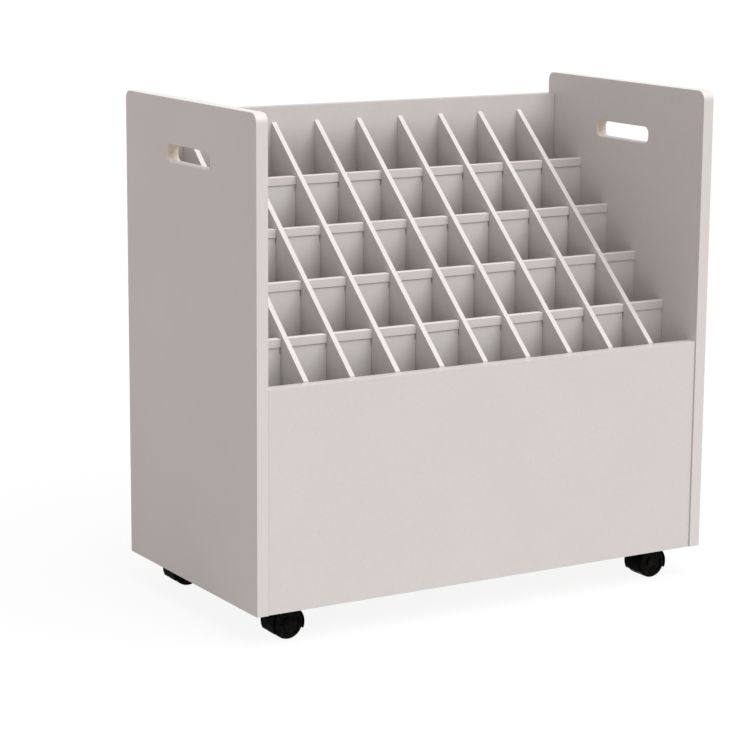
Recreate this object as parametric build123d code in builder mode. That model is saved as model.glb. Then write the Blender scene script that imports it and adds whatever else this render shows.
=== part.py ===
from build123d import *
import os

# Mobile roll file organizer: a laminate cabinet with an open, stepped grid of
# roll compartments, on four hooded twin-wheel casters.
# Units are millimetres. +X is to the right, +Y to the rear and +Z up. The origin
# lies on the floor, under the centre of the cabinet.

# Overall size, casters included
overall_width = 768.35
overall_depth = 400.05
overall_height = 742.95

# Carcass boards
board_thickness = 18.0
ground_clearance = 48.0
front_recess = 2.0
front_panel_top = 367.0
back_panel_drop = 32.95
bottom_recess = 12.0
edge_band_thickness = 0.8
edge_band_arris_radius = 0.6
front_corner_radius = 14.0
rear_corner_radius = 12.0

# Hand-holds through the side boards
hand_hold_length = 132.0
hand_hold_height = 25.0
hand_hold_drop = 77.95
hand_hold_corner_radius = 10.0
hand_hold_arris_radius = 1.2

# Divider grid
columns = 10
rows = 5
divider_thickness = 8.0
divider_fit = 0.2
lap_gap = 0.3
long_front_rise = 1.5
long_rear_drop = 23.0
long_arris_radius = 0.5
cross_drop = 7.0
slot_mouth_width = 1.4
slot_mouth_depth = 22.0

# Label strips glued along the top of each cross divider
strip_height = 12.7
strip_thickness = 1.6
strip_side_gap = 0.3
strip_edge_radius = 0.4

# Cam fittings and dowels
cam_radius = 7.5
cam_bore_depth = 12.5
cam_height = 12.0
cam_wall_gap = 0.05
cam_setback = 34.0
cam_pocket_gap = 0.2
cam_pocket_overshoot = 1.5
cam_slot_width = 1.6
cam_slot_depth = 1.5
bolt_radius = 3.0
bolt_thread_radius = 2.5
bolt_thread_length = 11.0
bolt_head_radius = 3.5
bolt_head_length = 3.0
bolt_channel_gap = 1.0
dowel_radius = 4.0
dowel_half_length = 12.5
dowel_end_gap = 0.5
dowel_wall_gap = 0.05
bottom_cam_spacing = 90.0
front_cam_spacing = 200.0
back_cam_spacing = 250.0
board_dowel_spacing = 240.0

# Caster places, from the cabinet's corners to each swivel axis
caster_inset_x = 66.5
caster_inset_y = 45.025

# Caster wheels and axle
caster_trail = 2.0
wheel_radius = 23.0
wheel_width = 15.5
wheel_shoulder = 3.5
wheel_inner_edge = 1.0
wheel_dish_depth = 2.5
wheel_hub_radius = 8.0
wheel_dish_radius = 17.0
wheel_dish_edge = 0.8
wheel_hub_wall = 2.5
wheel_side_gap = 0.5
axle_radius = 3.0
axle_running_gap = 0.05
axle_end_gap = 0.3
axle_end_bevel = 0.5
axle_bead_width = 1.8
axle_bead_rise = 0.4
axle_bead_setback = 2.0
axle_bead_gap = 0.1

# Caster hood
hood_wheel_gap = 0.7
hood_wall = 1.7
hood_width = 38.0
hood_side_radius = 1.2
hood_tail_rim_height = 10.5
hood_nose_rim_height = 14.0
hood_web = 5.0
neck_radius = 9.0
neck_edge_radius = 0.8

# Caster plate, swivel pin, washer and screws
pin_radius = 4.0
pin_running_gap = 0.05
pin_head_radius = 6.0
pin_depth = 7.0
pin_foot_gap = 0.3
pin_foot_bevel = 0.6
bead_depth = 3.0
bead_height = 1.6
bead_rise = 0.5
bead_gap = 0.15
washer_radius = 8.5
washer_thickness = 1.5
plate_size = 38.0
plate_corner_radius = 5.0
plate_thickness = 2.0
screw_spacing = 28.0
screw_radius = 1.8
screw_head_radius = 3.4
screw_length = 14.0
screw_slot_width = 1.0
screw_slot_depth = 0.8

# Every cut runs past the face it opens by this much
overrun = 1.0

# Places worked out from the sizes above
half_width = overall_width / 2
half_depth = overall_depth / 2
back_panel_top = overall_height - back_panel_drop
long_rear_height = back_panel_top - long_rear_drop
hand_hold_centre_height = overall_height - hand_hold_drop
inner_width = overall_width - 2 * board_thickness
inner_half = inner_width / 2
front_outer_y = -half_depth + front_recess
front_inner_y = front_outer_y + board_thickness
back_inner_y = half_depth - board_thickness
bottom_underside = ground_clearance + bottom_recess
floor_height = bottom_underside + board_thickness
divider_count = columns - 1
cross_count = rows - 1
cell_width = (inner_width - divider_count * divider_thickness) / columns
cell_depth = (back_inner_y - front_inner_y - cross_count * divider_thickness) / rows
column_pitch = cell_width + divider_thickness
row_pitch = cell_depth + divider_thickness
slot_width = divider_thickness + 2 * divider_fit
long_front_height = front_panel_top + long_front_rise
top_slope = (long_rear_height - long_front_height) / (back_inner_y - front_inner_y)
side_signs = {"left": -1, "right": 1}

os.makedirs("parts", exist_ok=True)


def divider_x(number):
    """Centre of a long divider, counted from the left."""
    return -inner_half + number * column_pitch - divider_thickness / 2


def cross_y(number):
    """Centre of a cross divider, counted from the front."""
    return front_inner_y + number * row_pitch - divider_thickness / 2


def long_top(y):
    """Height of the long dividers' slanted top edge at a place y."""
    return long_front_height + top_slope * (y - front_inner_y)


def strip_face_y(number):
    """Front face of the label strips on a cross divider."""
    return cross_y(number) - divider_thickness / 2 - strip_thickness


def cross_top(number):
    """Height of a cross divider, a set drop under the slanted edge at its strips."""
    return long_top(strip_face_y(number)) - cross_drop


def lap_height(number):
    """Height at which the long dividers and a cross divider are halved together."""
    return (floor_height + cross_top(number)) / 2


def save(piece, name):
    """Label a finished piece and write it under its own name."""
    piece.part.label = name
    export_step(piece.part, f"parts/{name}.step")


# Rows of fittings on a side board's inner face, as (y, z) pairs
bottom_row_z = bottom_underside + board_thickness / 2
front_row_y = front_outer_y + board_thickness / 2
back_row_y = half_depth - board_thickness / 2
front_row_z = (ground_clearance + front_panel_top) / 2
back_row_z = (ground_clearance + back_panel_top) / 2
bottom_cams = [(step * bottom_cam_spacing, bottom_row_z) for step in (-1, 0, 1)]
bottom_dowels = [(step * bottom_cam_spacing / 2, bottom_row_z) for step in (-1, 1)]
front_cams = [(front_row_y, front_row_z + step * front_cam_spacing / 2) for step in (-1, 1)]
front_dowels = [(front_row_y, front_row_z)]
back_cams = [(back_row_y, back_row_z + step * back_cam_spacing) for step in (-1, 0, 1)]
back_dowels = [(back_row_y, back_row_z + step * back_cam_spacing / 2) for step in (-1, 1)]
side_cams = bottom_cams + front_cams + back_cams
side_dowels = bottom_dowels + front_dowels + back_dowels


def side_places(side, points):
    """Places on a side board's inner face, with Z pointing into that board."""
    return [Location((side * inner_half, y, z), (0, side * 90, 0)) for y, z in points]


def edge_places(y, facing):
    """Places where dowels join the bottom board's edge, with Z pointing out of it."""
    spots = [step * board_dowel_spacing / 2 for step in (-1, 1)]
    return [Location((x, y, bottom_row_z), (-facing * 90, 0, 0)) for x in spots]


def bottom_cam_mouths(side):
    """Mouths of the bottom board's cam bores, in its underside, with Z going in."""
    x = side * (inner_half - cam_setback)
    return [Location((x, y, bottom_underside)) for y, z in bottom_cams]


def upright_cam_mouths(side, points, face_y):
    """Mouths of an upright board's cam bores, in its rear face, with Z going in."""
    x = side * (inner_half - cam_setback)
    return [Location((x, face_y, z), (90, 0, 0)) for y, z in points]


def all_cam_mouths(side):
    """Mouths of every cam bore beside one side board."""
    mouths = bottom_cam_mouths(side)
    mouths += upright_cam_mouths(side, front_cams, front_inner_y)
    mouths += upright_cam_mouths(side, back_cams, half_depth)
    return mouths


def cut_round(places, radius, depth, end=Align.MIN):
    """Cut a round hole at each place, along its Z, or against it with Align.MAX."""
    with Locations(*places):
        Cylinder(radius, depth, align=(Align.CENTER, Align.CENTER, end), mode=Mode.SUBTRACT)


def cut_board_end(side, cams, dowels, mouths):
    """Cut one end of a board for its cam bolts, cams and dowels."""
    cut_round(side_places(side, cams), bolt_head_radius + bolt_channel_gap, cam_setback, Align.MAX)
    cut_round(side_places(side, dowels), dowel_radius, dowel_half_length + dowel_end_gap, Align.MAX)
    cut_round(mouths, cam_radius, cam_bore_depth)


def draw_side_outline(inset):
    """Draw a side board's outline, pulled in by inset at its front, top and rear."""
    front = -half_depth + inset
    rear = half_depth - inset
    top = overall_height - inset
    front_radius = front_corner_radius - inset
    rear_radius = rear_corner_radius - inset
    with BuildLine() as outline:
        Line((rear, top - rear_radius), (rear, ground_clearance))
        Line((rear, ground_clearance), (front, ground_clearance))
        Line((front, ground_clearance), (front, top - front_radius))
        RadiusArc((front, top - front_radius), (front + front_radius, top), front_radius)
        Line((front + front_radius, top), (rear - rear_radius, top))
        RadiusArc((rear - rear_radius, top), (rear, top - rear_radius), rear_radius)
    make_face(outline.edges())


# Side boards, each with a hand-hold and blind holes for its fittings
for side_name, side in side_signs.items():
    outer_plane = Plane.YZ.offset(side * half_width)
    with BuildPart() as side_panel:
        with BuildSketch(outer_plane):
            draw_side_outline(edge_band_thickness)
            with Locations((0, hand_hold_centre_height)):
                RectangleRounded(
                    hand_hold_length,
                    hand_hold_height,
                    hand_hold_corner_radius,
                    mode=Mode.SUBTRACT,
                )
        extrude(amount=-side * board_thickness)
        outer_face = side_panel.faces().sort_by(Axis.X)[-1 if side > 0 else 0]
        inner_face = side_panel.faces().sort_by(Axis.X)[0 if side > 0 else -1]
        for face in (outer_face, inner_face):
            fillet(face.inner_wires()[0].edges(), hand_hold_arris_radius)
        cut_round(side_places(side, side_cams), bolt_thread_radius, bolt_thread_length)
        cut_round(
            side_places(side, side_dowels), dowel_radius, dowel_half_length + dowel_end_gap
        )
    save(side_panel, f"{side_name}_side_panel")

    # The band runs up the front edge, over both rounded corners and down the rear
    with BuildPart() as edge_band:
        with BuildSketch(outer_plane):
            draw_side_outline(0)
        extrude(amount=-side * board_thickness)
        arrises = edge_band.faces().filter_by(Axis.X).edges()
        underside = edge_band.faces().sort_by(Axis.Z)[0]
        fillet(arrises - underside.edges(), edge_band_arris_radius)
        with BuildSketch(outer_plane):
            draw_side_outline(edge_band_thickness)
        extrude(amount=-side * board_thickness, mode=Mode.SUBTRACT)
    save(edge_band, f"{side_name}_edge_band")

# Front board, set back from the side boards' front edges
with BuildPart() as front_panel:
    with Locations((0, front_outer_y, ground_clearance)):
        Box(
            inner_width,
            board_thickness,
            front_panel_top - edge_band_thickness - ground_clearance,
            align=(Align.CENTER, Align.MIN, Align.MIN),
        )
    for side in side_signs.values():
        mouths = upright_cam_mouths(side, front_cams, front_inner_y)
        cut_board_end(side, front_cams, front_dowels, mouths)
    cut_round(
        edge_places(front_inner_y, -1), dowel_radius, dowel_half_length + dowel_end_gap
    )
save(front_panel, "front_panel")

# Back board, flush with the side boards' rear edges, its cams in its rear face
with BuildPart() as back_panel:
    with Locations((0, back_inner_y, ground_clearance)):
        Box(
            inner_width,
            board_thickness,
            back_panel_top - edge_band_thickness - ground_clearance,
            align=(Align.CENTER, Align.MIN, Align.MIN),
        )
    for side in side_signs.values():
        mouths = upright_cam_mouths(side, back_cams, half_depth)
        cut_board_end(side, back_cams, back_dowels, mouths)
    cut_round(
        edge_places(back_inner_y, 1), dowel_radius, dowel_half_length + dowel_end_gap
    )
save(back_panel, "back_panel")

# Edge bands along the tops of the front and back boards
for band_name, band_y, band_top in (
    ("front_top_band", front_outer_y, front_panel_top),
    ("back_top_band", back_inner_y, back_panel_top),
):
    with BuildPart() as top_band:
        with Locations((0, band_y, band_top)):
            Box(
                inner_width,
                board_thickness,
                edge_band_thickness,
                align=(Align.CENTER, Align.MIN, Align.MAX),
            )
        arrises = top_band.faces().sort_by(Axis.Z)[-1].edges().filter_by(Axis.X)
        fillet(arrises, edge_band_arris_radius)
    save(top_band, band_name)

# Places of the casters' swivel axes and of their plates' screws
caster_signs = {
    "front_left": (-1, -1),
    "front_right": (1, -1),
    "rear_left": (-1, 1),
    "rear_right": (1, 1),
}
caster_x = half_width - caster_inset_x
caster_y = half_depth - caster_inset_y
pivots = {name: (sx * caster_x, sy * caster_y) for name, (sx, sy) in caster_signs.items()}
plate_underside = bottom_underside - plate_thickness
screw_places = [
    Location((x + sx * screw_spacing / 2, y + sy * screw_spacing / 2, plate_underside))
    for x, y in pivots.values()
    for sx, sy in caster_signs.values()
]

# Bottom board, raised a little above the side boards' lower edges
with BuildPart() as bottom_panel:
    with Locations((0, front_inner_y, bottom_underside)):
        Box(
            inner_width,
            back_inner_y - front_inner_y,
            board_thickness,
            align=(Align.CENTER, Align.MIN, Align.MIN),
        )
    for side in side_signs.values():
        cut_board_end(side, bottom_cams, bottom_dowels, bottom_cam_mouths(side))
    board_edges = edge_places(front_inner_y, -1) + edge_places(back_inner_y, 1)
    cut_round(board_edges, dowel_radius, dowel_half_length + dowel_end_gap, Align.MAX)
    cut_round(screw_places, screw_radius, screw_length)
save(bottom_panel, "bottom_panel")

# Long dividers, front to back, with a slanted top and slots open at the bottom
for number in range(1, divider_count + 1):
    with BuildPart() as long_divider:
        with BuildSketch(Plane.YZ.offset(divider_x(number) - divider_thickness / 2)):
            with BuildLine():
                front_y = front_inner_y + divider_fit
                rear_y = back_inner_y - divider_fit
                Polyline(
                    (front_y, floor_height),
                    (rear_y, floor_height),
                    (rear_y, long_top(rear_y)),
                    (front_y, long_top(front_y)),
                    close=True,
                )
            make_face()
            for cross in range(1, cross_count + 1):
                with Locations((cross_y(cross), floor_height - overrun)):
                    Rectangle(
                        slot_width,
                        lap_height(cross) + lap_gap / 2 - floor_height + overrun,
                        align=(Align.CENTER, Align.MIN),
                        mode=Mode.SUBTRACT,
                    )
        extrude(amount=divider_thickness)
        slanted_face = long_divider.faces().sort_by(Axis.Z)[-1]
        fillet(slanted_face.edges().sort_by(SortBy.LENGTH)[-2:], long_arris_radius)
    save(long_divider, f"long_divider_{number}")

# Cross dividers, side to side and stepped up to the rear, with slots open at the top
for number in range(1, cross_count + 1):
    slot_bottom = lap_height(number) - lap_gap / 2
    with BuildPart() as cross_divider:
        with BuildSketch(Plane.XZ.offset(-cross_y(number) - divider_thickness / 2)):
            with Locations((0, floor_height)):
                Rectangle(
                    inner_width - 2 * divider_fit,
                    cross_top(number) - floor_height,
                    align=(Align.CENTER, Align.MIN),
                )
            for long in range(1, divider_count + 1):
                with Locations((divider_x(long), cross_top(number) + overrun)):
                    Rectangle(
                        slot_width,
                        cross_top(number) + overrun - slot_bottom,
                        align=(Align.CENTER, Align.MAX),
                        mode=Mode.SUBTRACT,
                    )
                    Rectangle(
                        slot_width + 2 * slot_mouth_width,
                        slot_mouth_depth + overrun,
                        align=(Align.CENTER, Align.MAX),
                        mode=Mode.SUBTRACT,
                    )
        extrude(amount=divider_thickness)
    save(cross_divider, f"cross_divider_{number}")

    # One label strip to each compartment, glued to the cross divider's front face
    with BuildPart() as label_strips:
        for column in range(columns):
            strip_x = -inner_half + column * column_pitch + cell_width / 2
            with Locations((strip_x, strip_face_y(number), cross_top(number))):
                Box(
                    cell_width - 2 * strip_side_gap,
                    strip_thickness,
                    strip_height,
                    align=(Align.CENTER, Align.MIN, Align.MAX),
                )
        front_faces = label_strips.faces().filter_by(Axis.Y).sort_by(Axis.Y)[:columns]
        fillet(front_faces.edges().filter_by(Axis.X), strip_edge_radius)
    save(label_strips, f"label_strips_{number}")

# Cam bolts: a thread in the side board, a shank and a head inside the cam
with BuildPart() as cam_bolts:
    for side in side_signs.values():
        with Locations(*side_places(side, side_cams)):
            Cylinder(
                bolt_thread_radius,
                bolt_thread_length,
                align=(Align.CENTER, Align.CENTER, Align.MIN),
            )
            Cylinder(bolt_radius, cam_setback, align=(Align.CENTER, Align.CENTER, Align.MAX))
            with Locations((0, 0, -cam_setback)):
                Cylinder(
                    bolt_head_radius,
                    bolt_head_length,
                    align=(Align.CENTER, Align.CENTER, Align.MIN),
                )
save(cam_bolts, "cam_bolts")

# Cam locks: a round body with a pocket for the bolt's head and a driver slot
with BuildPart() as cam_locks:
    body_radius = cam_radius - cam_wall_gap
    for side in side_signs.values():
        with Locations(*all_cam_mouths(side)):
            with Locations((0, 0, cam_bore_depth)):
                Cylinder(
                    body_radius,
                    cam_height,
                    align=(Align.CENTER, Align.CENTER, Align.MAX),
                )
            with Locations((0, 0, cam_bore_depth - cam_height)):
                Box(
                    2 * body_radius,
                    cam_slot_width,
                    2 * cam_slot_depth,
                    mode=Mode.SUBTRACT,
                )
            with Locations(Location((0, 0, board_thickness / 2), (0, side * 90, 0))):
                with Locations((0, 0, -cam_pocket_overshoot)):
                    Cylinder(
                        bolt_head_radius + cam_pocket_gap,
                        cam_radius + cam_pocket_overshoot + overrun,
                        align=(Align.CENTER, Align.CENTER, Align.MIN),
                        mode=Mode.SUBTRACT,
                    )
save(cam_locks, "cam_locks")

# Dowels, half in each of the two boards that they join
with BuildPart() as dowels:
    dowel_places = edge_places(front_inner_y, -1) + edge_places(back_inner_y, 1)
    for side in side_signs.values():
        dowel_places += side_places(side, side_dowels)
    with Locations(*dowel_places):
        Cylinder(dowel_radius - dowel_wall_gap, 2 * dowel_half_length)
save(dowels, "dowels")

# Countersunk screws that hold the caster plates
with BuildPart() as caster_screws:
    with Locations(*screw_places):
        Cylinder(screw_radius, screw_length, align=(Align.CENTER, Align.CENTER, Align.MIN))
        Cone(
            screw_head_radius,
            screw_radius,
            screw_head_radius - screw_radius,
            align=(Align.CENTER, Align.CENTER, Align.MIN),
        )
        Box(
            2 * screw_head_radius,
            screw_slot_width,
            2 * screw_slot_depth,
            mode=Mode.SUBTRACT,
        )
save(caster_screws, "caster_screws")

# Levels and places inside a caster, the same for all four
hood_radius = wheel_radius + hood_wheel_gap + hood_wall
neck_top = plate_underside - washer_thickness
pin_foot = neck_top - pin_depth
bead_top = neck_top - bead_depth
bead_bottom = bead_top - bead_height
bead_radius = pin_radius + bead_rise
pin_hole_radius = pin_radius + pin_running_gap
wheel_inner = hood_web / 2 + wheel_side_gap
axle_reach = wheel_inner + wheel_width - wheel_hub_wall - axle_end_gap
axle_bead_end = axle_reach - axle_bead_setback
axle_bead_start = axle_bead_end - axle_bead_width
axle_bead_radius = axle_radius + axle_bead_rise

# Washers between the caster plates and the hoods' necks
with BuildPart() as swivel_washers:
    with Locations(*[(x, y, neck_top) for x, y in pivots.values()]):
        Cylinder(washer_radius, washer_thickness, align=(Align.CENTER, Align.CENTER, Align.MIN))
        Cylinder(
            pin_hole_radius,
            washer_thickness,
            align=(Align.CENTER, Align.CENTER, Align.MIN),
            mode=Mode.SUBTRACT,
        )
save(swivel_washers, "swivel_washers")

for caster, (pivot_x, pivot_y) in pivots.items():
    wheel_x = pivot_x - caster_trail
    wheel_axis = Location((wheel_x, pivot_y, wheel_radius), (90, 0, 0))

    # Plate, screwed under the bottom board
    with BuildPart() as caster_plate:
        with BuildSketch(Plane(origin=(pivot_x, pivot_y, plate_underside))):
            RectangleRounded(plate_size, plate_size, plate_corner_radius)
        extrude(amount=plate_thickness)
        with Locations((pivot_x, pivot_y, bottom_underside)):
            CounterSinkHole(pin_radius, pin_head_radius, counter_sink_angle=90)
        with Locations(Plane(origin=(pivot_x, pivot_y, plate_underside), z_dir=(0, 0, -1))):
            with GridLocations(screw_spacing, screw_spacing, 2, 2):
                CounterSinkHole(screw_radius, screw_head_radius, counter_sink_angle=90)
    save(caster_plate, f"{caster}_caster_plate")

    # Swivel pin: a flush head in the plate and a snap bead inside the hood's neck
    pin_view = Plane(origin=(pivot_x, pivot_y, 0), x_dir=(1, 0, 0), z_dir=(0, -1, 0))
    with BuildPart() as swivel_pin:
        with BuildSketch(pin_view):
            with BuildLine():
                Polyline(
                    (0, bottom_underside),
                    (pin_head_radius, bottom_underside),
                    (pin_radius, bottom_underside - (pin_head_radius - pin_radius)),
                    (pin_radius, bead_top),
                    (bead_radius, bead_top - bead_rise),
                    (bead_radius, bead_bottom + bead_rise),
                    (pin_radius, bead_bottom),
                    (pin_radius, pin_foot + pin_foot_bevel),
                    (pin_radius - pin_foot_bevel, pin_foot),
                    (0, pin_foot),
                    close=True,
                )
            make_face()
        revolve(axis=Axis((pivot_x, pivot_y, 0), (0, 0, 1)))
    save(swivel_pin, f"{caster}_swivel_pin")

    # Hood: a fender over both wheels and a web between them, under a round neck
    side_view = Plane(origin=(wheel_x, pivot_y, wheel_radius), x_dir=(1, 0, 0), z_dir=(0, -1, 0))
    with BuildPart() as caster_hood:
        with Locations(wheel_axis):
            Cylinder(hood_radius, hood_width)
        fillet(caster_hood.edges().filter_by(GeomType.CIRCLE), hood_side_radius)
        with Locations((pivot_x, pivot_y, neck_top)):
            Cylinder(
                neck_radius,
                neck_top - wheel_radius,
                align=(Align.CENTER, Align.CENTER, Align.MAX),
            )
        fillet(caster_hood.faces().sort_by(Axis.Z)[-1].edges(), neck_edge_radius)
        for well_side in (-1, 1):
            well_y = pivot_y + well_side * hood_web / 2
            with Locations(Location((wheel_x, well_y, wheel_radius), (-well_side * 90, 0, 0))):
                Cylinder(
                    wheel_radius + hood_wheel_gap,
                    hood_width,
                    align=(Align.CENTER, Align.CENTER, Align.MIN),
                    mode=Mode.SUBTRACT,
                )
        with BuildSketch(side_view):
            with BuildLine():
                Polyline(
                    (-hood_radius, hood_tail_rim_height - wheel_radius),
                    (hood_radius, hood_nose_rim_height - wheel_radius),
                    (hood_radius, -hood_radius),
                    (-hood_radius, -hood_radius),
                    close=True,
                )
            make_face()
        extrude(amount=hood_width, both=True, mode=Mode.SUBTRACT)
        with Locations((pivot_x, pivot_y, neck_top)):
            Cylinder(
                pin_hole_radius,
                pin_depth + pin_foot_gap,
                align=(Align.CENTER, Align.CENTER, Align.MAX),
                mode=Mode.SUBTRACT,
            )
        with Locations((pivot_x, pivot_y, bead_top + bead_gap)):
            Cylinder(
                bead_radius + bead_gap,
                bead_height + 2 * bead_gap,
                align=(Align.CENTER, Align.CENTER, Align.MAX),
                mode=Mode.SUBTRACT,
            )
        with Locations(wheel_axis):
            Cylinder(axle_radius, hood_width, mode=Mode.SUBTRACT)
    save(caster_hood, f"{caster}_caster_hood")

    # Axle, pressed through the hood's web, with a snap bead inside each wheel's hub
    axle_view = Plane(origin=(wheel_x, pivot_y, wheel_radius), x_dir=(0, 1, 0), z_dir=(1, 0, 0))
    with BuildPart() as caster_axle:
        with BuildSketch(axle_view):
            with BuildLine():
                Polyline(
                    (0, axle_radius),
                    (axle_bead_start, axle_radius),
                    (axle_bead_start + axle_bead_rise, axle_bead_radius),
                    (axle_bead_end - axle_bead_rise, axle_bead_radius),
                    (axle_bead_end, axle_radius),
                    (axle_reach - axle_end_bevel, axle_radius),
                    (axle_reach, axle_radius - axle_end_bevel),
                    (axle_reach, 0),
                )
                mirror(about=Plane.YZ)
                Line((-axle_reach, 0), (axle_reach, 0))
            make_face()
        revolve(axis=Axis((wheel_x, pivot_y, wheel_radius), (0, 1, 0)))
    save(caster_axle, f"{caster}_caster_axle")

    # Wheels, one on each side of the web, dished outside, with a blind bore for the axle
    for wheel_name, wheel_side in (("front_wheel", -1), ("rear_wheel", 1)):
        wheel_plane = Plane(
            origin=(wheel_x, pivot_y + wheel_side * wheel_inner, wheel_radius),
            x_dir=(0, wheel_side, 0),
            z_dir=(wheel_side, 0, 0),
        )
        with BuildPart() as caster_wheel:
            with BuildSketch(wheel_plane) as wheel_section:
                Rectangle(wheel_width, wheel_radius, align=(Align.MIN, Align.MIN))
                Rectangle(
                    wheel_width - wheel_hub_wall,
                    axle_radius + axle_running_gap,
                    align=(Align.MIN, Align.MIN),
                    mode=Mode.SUBTRACT,
                )
                with Locations((axle_bead_start - axle_bead_gap - wheel_inner, 0)):
                    Rectangle(
                        axle_bead_width + 2 * axle_bead_gap,
                        axle_bead_radius + axle_bead_gap,
                        align=(Align.MIN, Align.MIN),
                        mode=Mode.SUBTRACT,
                    )
                with Locations((wheel_width, wheel_hub_radius)):
                    Rectangle(
                        wheel_dish_depth,
                        wheel_dish_radius - wheel_hub_radius,
                        align=(Align.MAX, Align.MIN),
                        mode=Mode.SUBTRACT,
                    )
                dish = wheel_section.vertices().group_by(Axis.Y)[-2].sort_by(Axis.X)
                fillet(dish, wheel_dish_edge)
                rim = wheel_section.vertices().group_by(Axis.Y)[-1].sort_by(Axis.X)
                fillet(rim[-1], wheel_shoulder)
                fillet(rim[0], wheel_inner_edge)
            revolve(axis=Axis((wheel_x, pivot_y, wheel_radius), (0, 1, 0)))
        save(caster_wheel, f"{caster}_caster_{wheel_name}")
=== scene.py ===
"""Mobile roll file organizer, dressed for its picture.

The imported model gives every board, strip, fitting and caster at its real place.
This script gives each of them its finish, and adds the floor, the light and the
camera. Lengths are in metres, in the model's own frame: +X is to the right, +Y to
the rear and +Z up, with the origin on the floor under the cabinet's centre.
"""

from __future__ import annotations

import logging
import math
from dataclasses import dataclass, replace
from enum import Enum

import bpy
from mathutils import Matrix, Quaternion, Vector

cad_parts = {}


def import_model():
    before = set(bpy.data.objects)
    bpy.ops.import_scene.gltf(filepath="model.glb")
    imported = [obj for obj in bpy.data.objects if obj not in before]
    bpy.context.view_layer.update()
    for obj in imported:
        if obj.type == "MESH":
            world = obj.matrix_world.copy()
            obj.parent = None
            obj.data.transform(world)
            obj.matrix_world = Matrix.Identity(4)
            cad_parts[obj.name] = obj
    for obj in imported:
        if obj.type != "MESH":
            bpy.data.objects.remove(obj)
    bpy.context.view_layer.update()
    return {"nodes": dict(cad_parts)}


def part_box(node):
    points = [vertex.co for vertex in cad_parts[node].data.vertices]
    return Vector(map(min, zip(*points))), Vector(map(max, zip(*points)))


LOG = logging.getLogger("roll_file_organizer")

Material = bpy.types.Material
Node = bpy.types.Node
Socket = bpy.types.NodeSocket
Tree = bpy.types.NodeTree

Colour = tuple[float, float, float, float]
Triple = tuple[float, float, float]
Span = tuple[float, float]

WHITE: Colour = (1.0, 1.0, 1.0, 1.0)
NOWHERE: Triple = (0.0, 0.0, 0.0)

# Places of a Mix node's colour sockets, whose names other types share.
MIX_FIRST, MIX_SECOND, MIX_RESULT = 6, 7, 2

# Z of the normal between which a face counts more and more as looking up.
DUST_TILT: Span = (0.3, 1.0)
# The next span sets which faces get the painted highlight of a lit top.
LIT_TOP_TILT: Span = (0.3, 0.6)

# Z of the normal below which a face counts as looking down.
FACING_DOWN = -0.9


def srgb(red: int, green: int, blue: int) -> Colour:
    """Turn a colour of 0 to 255 per channel into linear light.

    Args:
        red: Red channel.
        green: Green channel.
        blue: Blue channel.

    Returns:
        The linear colour with an alpha of 1.
    """
    toe_end, toe_slope, offset, power = 0.04045, 12.92, 0.055, 2.4

    def linear(channel: int) -> float:
        """Return one channel in linear light."""
        value = channel / 255
        if value <= toe_end:
            return value / toe_slope
        return ((value + offset) / (1 + offset)) ** power

    return linear(red), linear(green), linear(blue), 1.0


class Axis(Enum):
    """The three axes of the object's frame."""

    X = 0
    Y = 1
    Z = 2


class Corner(Enum):
    """The cabinet's corners, by the name that their casters' nodes start with."""

    FRONT_LEFT = "front_left"
    FRONT_RIGHT = "front_right"
    REAR_LEFT = "rear_left"
    REAR_RIGHT = "rear_right"


@dataclass(frozen=True)
class Layer:
    """A layer of smooth noise that is faded in.

    Attributes:
        scale: Cycles per metre.
        detail: How many finer layers are added.
        start: Noise where the fade is 0.
        end: Noise where the fade is 1.
    """

    scale: float
    detail: float
    start: float
    end: float


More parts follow.
